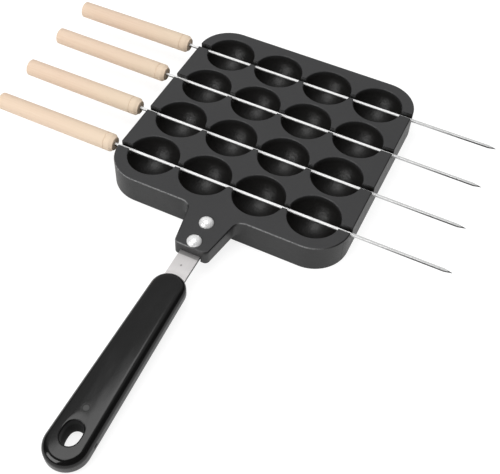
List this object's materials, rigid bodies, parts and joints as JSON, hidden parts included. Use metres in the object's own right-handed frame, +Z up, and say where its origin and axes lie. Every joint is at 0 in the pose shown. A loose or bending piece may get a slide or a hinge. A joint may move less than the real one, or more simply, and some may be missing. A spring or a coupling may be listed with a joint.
{
  "type": "takoyaki maker",
  "caption": "Cast takoyaki pan with half-round cups in a square grid, a riveted handle, and loose wood-handled skewers lying in slots across the cups.",
  "frame": {"origin": "middle of the cup grid on the flat cooking face", "axes": "+Z up, out of the cooking face; +X along the skewers to their points; +Y away from the handle"},
  "size_m": [0.3813, 0.3995, 0.0271],
  "materials": {
    "pan_coat": "matte dark grey non-stick coat on cast aluminium",
    "strap_steel": "satin",
    "rivet_metal": "bright",
    "grip_black": "gloss",
    "pin_black": "blackened",
    "rod_steel": "bright",
    "skewer_wood": "bare, sanded"
  },
  "bodies": {
    "pan": {"pan_body": "pan_coat", "handle_strap": "strap_steel", "rivet_inner": "rivet_metal", "rivet_outer": "rivet_metal", "handle_grip": "grip_black", "tang_pin": "pin_black"},
    "skewer_1": {"skewer_rod_1": "rod_steel", "skewer_handle_1": "skewer_wood"},
    "skewer_2": {"skewer_rod_2": "rod_steel", "skewer_handle_2": "skewer_wood"},
    "skewer_3": {"skewer_rod_3": "rod_steel", "skewer_handle_3": "skewer_wood"},
    "skewer_4": {"skewer_rod_4": "rod_steel", "skewer_handle_4": "skewer_wood"}
  },
  "joints": [
    {"name": "skewer_1_lift", "type": "slide", "parent": "pan", "child": "skewer_1", "axis": [0, 0, 1], "range_m": [0, 0.06]},
    {"name": "skewer_2_lift", "type": "slide", "parent": "pan", "child": "skewer_2", "axis": [0, 0, 1], "range_m": [0, 0.06]},
    {"name": "skewer_3_lift", "type": "slide", "parent": "pan", "child": "skewer_3", "axis": [0, 0, 1], "range_m": [0, 0.06]},
    {"name": "skewer_4_lift", "type": "slide", "parent": "pan", "child": "skewer_4", "axis": [0, 0, 1], "range_m": [0, 0.06]}
  ]
}
